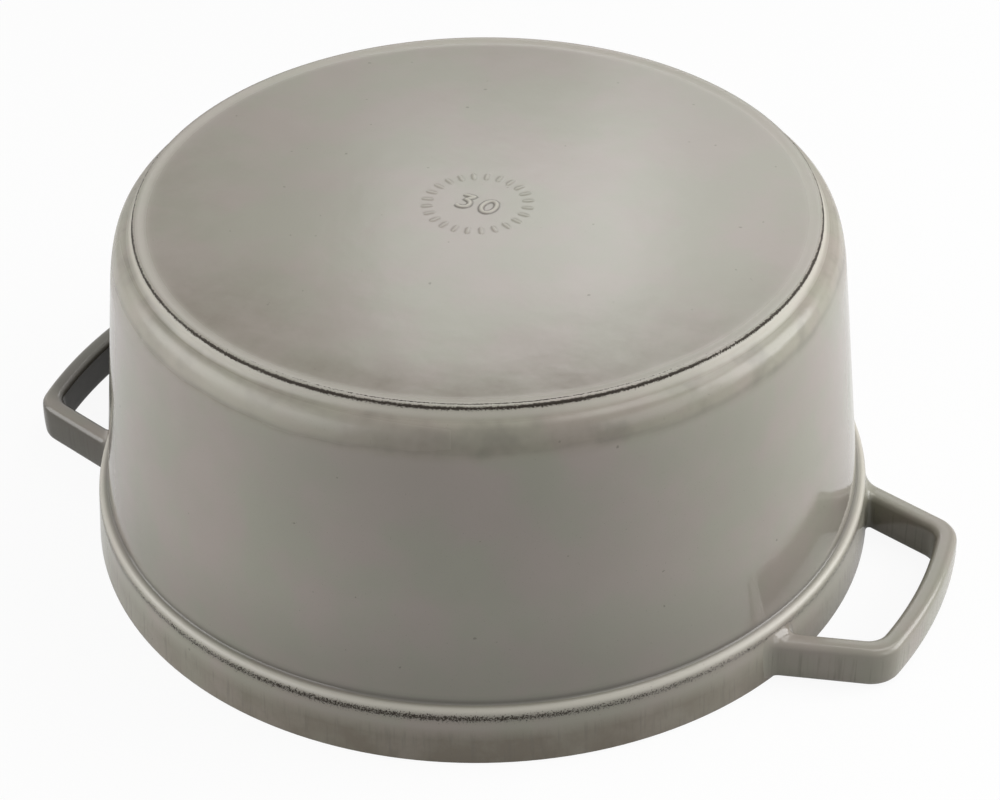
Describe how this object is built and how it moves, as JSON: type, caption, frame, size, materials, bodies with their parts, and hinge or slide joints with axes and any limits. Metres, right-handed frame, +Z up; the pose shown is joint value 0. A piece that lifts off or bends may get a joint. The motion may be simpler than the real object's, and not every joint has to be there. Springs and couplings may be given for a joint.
{
  "type": "dutch oven",
  "caption": "Round enamelled cast-iron dutch oven turned upside down on its rim, with loop handles at the rim and a knobbed lid stored inside it.",
  "frame": {"origin": "on the pot's axis in the plane of the rim, which stands on the floor", "axes": "+Z up out of the pot's base, because the pot stands upside down; X runs through both loop handles"},
  "size_m": [0.38, 0.308, 0.1398],
  "materials": {
    "grey_enamel": "gloss",
    "black_enamel": "matte",
    "bare_iron": "matte",
    "knob_nickel": "polished",
    "fastener_steel": "satin",
    "washer_fibre": "matte"
  },
  "bodies": {
    "lid": {"lid_casting": "bare_iron", "lid_outer_enamel": "grey_enamel", "lid_inner_enamel": "black_enamel", "knob_washer": "washer_fibre", "knob": "knob_nickel", "screw_washer": "fastener_steel", "knob_screw": "fastener_steel"},
    "pot": {"pot_casting": "bare_iron", "pot_outer_enamel": "grey_enamel", "pot_inner_enamel": "black_enamel"}
  },
  "joints": [
    {"name": "pot_lift", "type": "slide", "parent": "lid", "child": "pot", "axis": [0, 0, 1], "range_m": [0, 0.18]}
  ]
}
